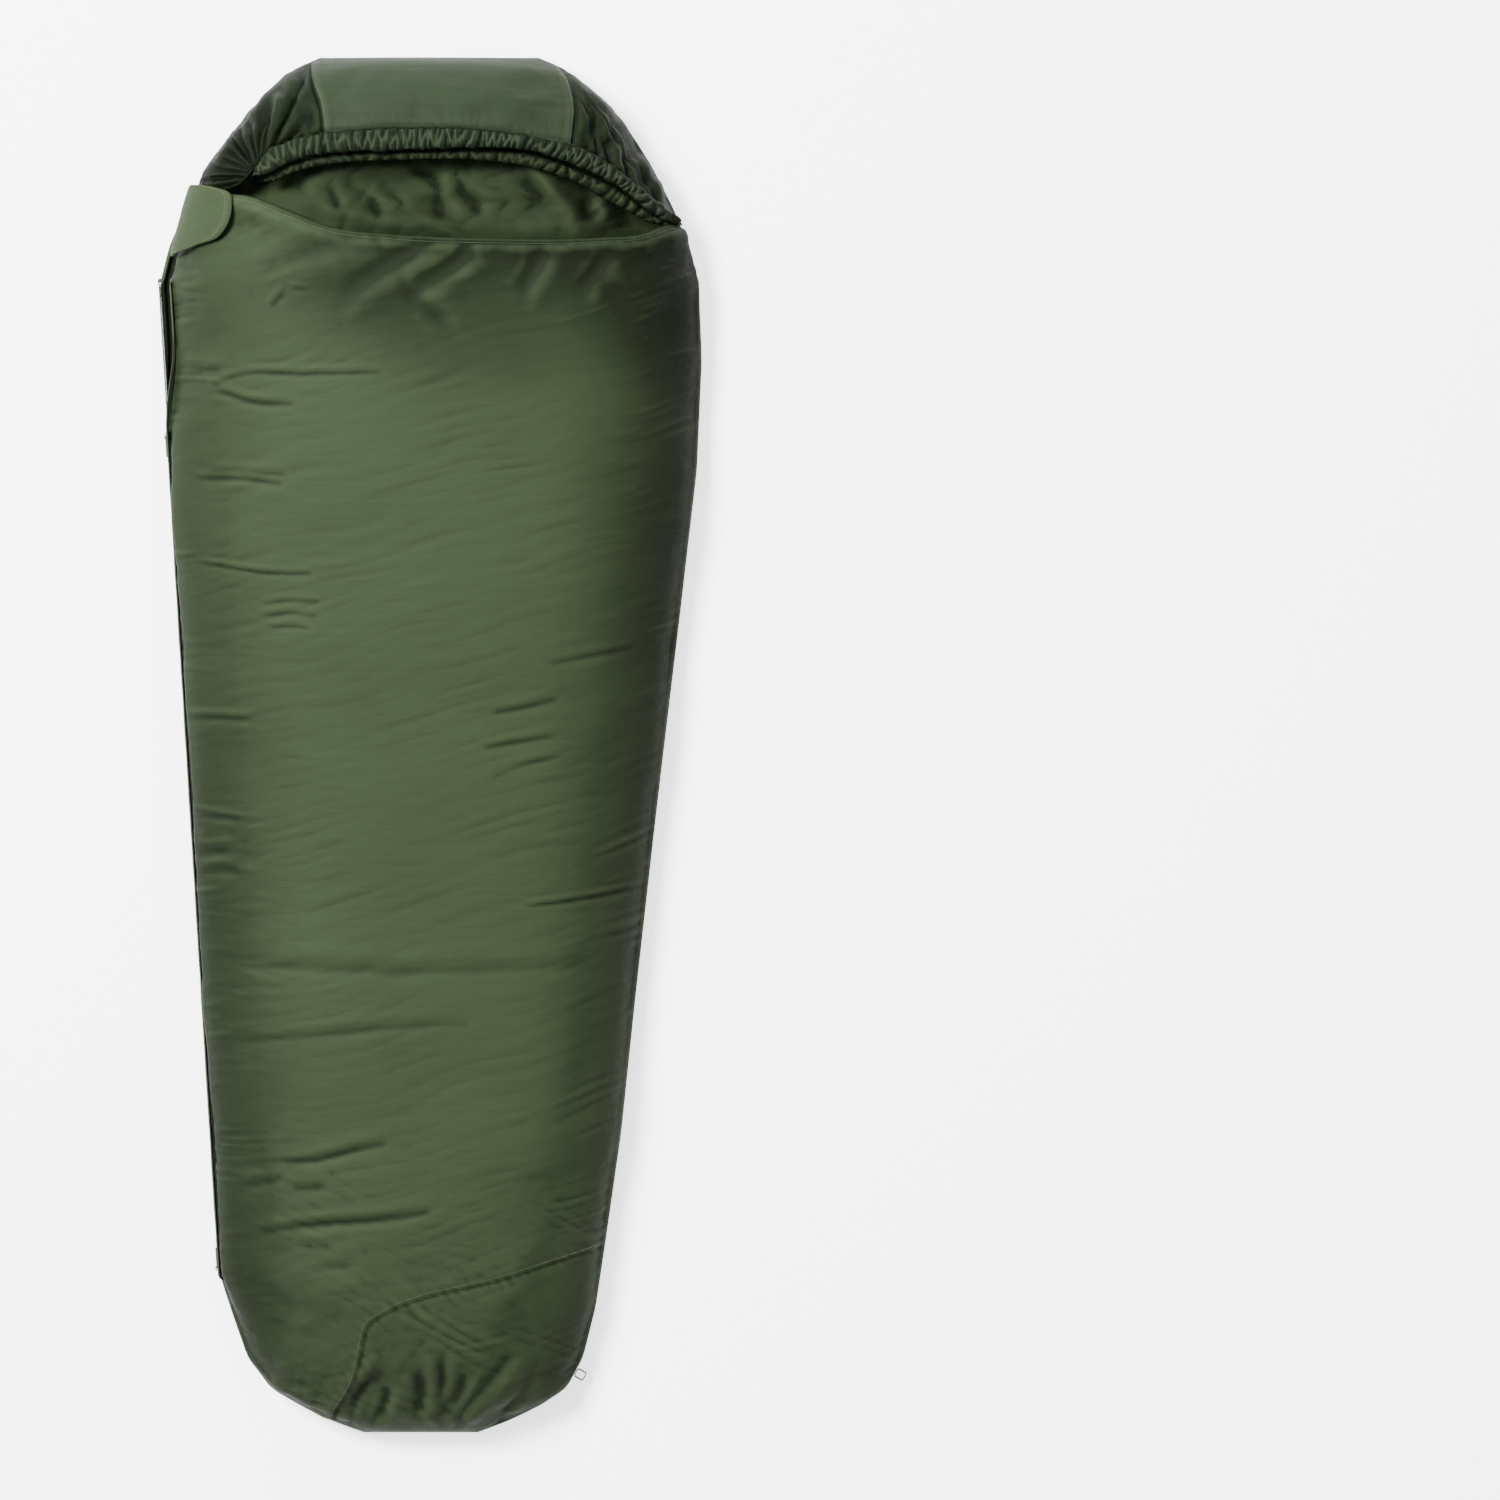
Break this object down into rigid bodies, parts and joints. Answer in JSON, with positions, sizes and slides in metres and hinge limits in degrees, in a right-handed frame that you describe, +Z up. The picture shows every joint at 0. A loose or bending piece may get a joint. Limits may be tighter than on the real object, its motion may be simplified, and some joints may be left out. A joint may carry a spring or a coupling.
{
  "type": "mummy sleeping bag",
  "caption": "Padded mummy sleeping bag laid flat: tapered body, gathered hood round an arched face opening, side zip with sliders and a fastened corner flap.",
  "frame": {"origin": "middle of the bag's outline, on the flat underside that it lies on", "axes": "+Y from the foot to the head, +X to the wearer's left as it lies face up, away from the zip, +Z up out of the face opening"},
  "size_m": [0.8711, 2.2, 0.1892],
  "materials": {
    "shell_fabric": "olive green nylon taffeta, calendered to a soft sheen",
    "hood_fabric": "dark olive green nylon taffeta, soft sheen",
    "lining_fabric": "dark green brushed polyester lining, dull",
    "fill": "white polyester fibre fill, seen nowhere outside",
    "elastic": "black braided elastic, inside its channel",
    "zip_tape": "dark olive woven tape",
    "zip_coil": "dark olive polyester coil",
    "zip_metal": "black enamelled zinc with worn edges",
    "hook_and_loop": "olive hook and loop fastener",
    "webbing": "olive nylon webbing"
  },
  "bodies": {
    "bag": {"back_shell": "shell_fabric", "back_insulation": "fill", "back_lining": "lining_fabric", "front_shell": "shell_fabric", "toe_panel": "shell_fabric", "front_insulation": "fill", "front_lining": "lining_fabric", "chest_hem_binding": "shell_fabric", "hood_left_panel": "hood_fabric", "hood_center_panel": "hood_fabric", "hood_right_panel": "hood_fabric", "hood_insulation": "fill", "hood_lining": "lining_fabric", "face_channel": "hood_fabric", "face_elastic": "elastic", "zip_tape_back": "zip_tape", "zip_tape_front": "zip_tape", "zip_coil_back": "zip_coil", "zip_coil_front": "zip_coil", "zip_foot_stop": "zip_metal", "zip_head_stop_back": "zip_metal", "zip_head_stop_front": "zip_metal", "front_edge_piping": "shell_fabric", "draft_tube": "lining_fabric", "flap_loop_patch": "hook_and_loop", "foot_loop": "webbing"},
    "flap": {"corner_flap": "shell_fabric", "flap_hook_patch": "hook_and_loop"},
    "upper_slider": {"zip_slider_upper": "zip_metal"},
    "upper_pull": {"zip_pull_upper": "zip_metal"},
    "lower_slider": {"zip_slider_lower": "zip_metal"},
    "lower_pull": {"zip_pull_lower": "zip_metal"}
  },
  "joints": [
    {"name": "flap_open", "type": "hinge", "parent": "bag", "child": "flap", "pos_m": [-0.39125, 0.8345, 0.052], "axis": [-0.2842, -0.9588, 0], "range_deg": [0, 80]},
    {"name": "upper_slider_travel", "type": "slide", "parent": "bag", "child": "upper_slider", "axis": [-0.0618, 0.9981, 0], "range_m": [-0.65, 0.23]},
    {"name": "upper_pull_swing", "type": "hinge", "parent": "upper_slider", "child": "upper_pull", "pos_m": [-0.42597, 0.49374, 0.043], "axis": [0, 0, -1], "range_deg": [0, 180]},
    {"name": "lower_slider_travel", "type": "slide", "parent": "bag", "child": "lower_slider", "axis": [-0.0618, 0.9981, 0], "range_m": [0, 0.6]},
    {"name": "lower_pull_swing", "type": "hinge", "parent": "lower_slider", "child": "lower_pull", "pos_m": [-0.34362, -0.83726, 0.043], "axis": [0, 0, 1], "range_deg": [0, 180]}
  ]
}
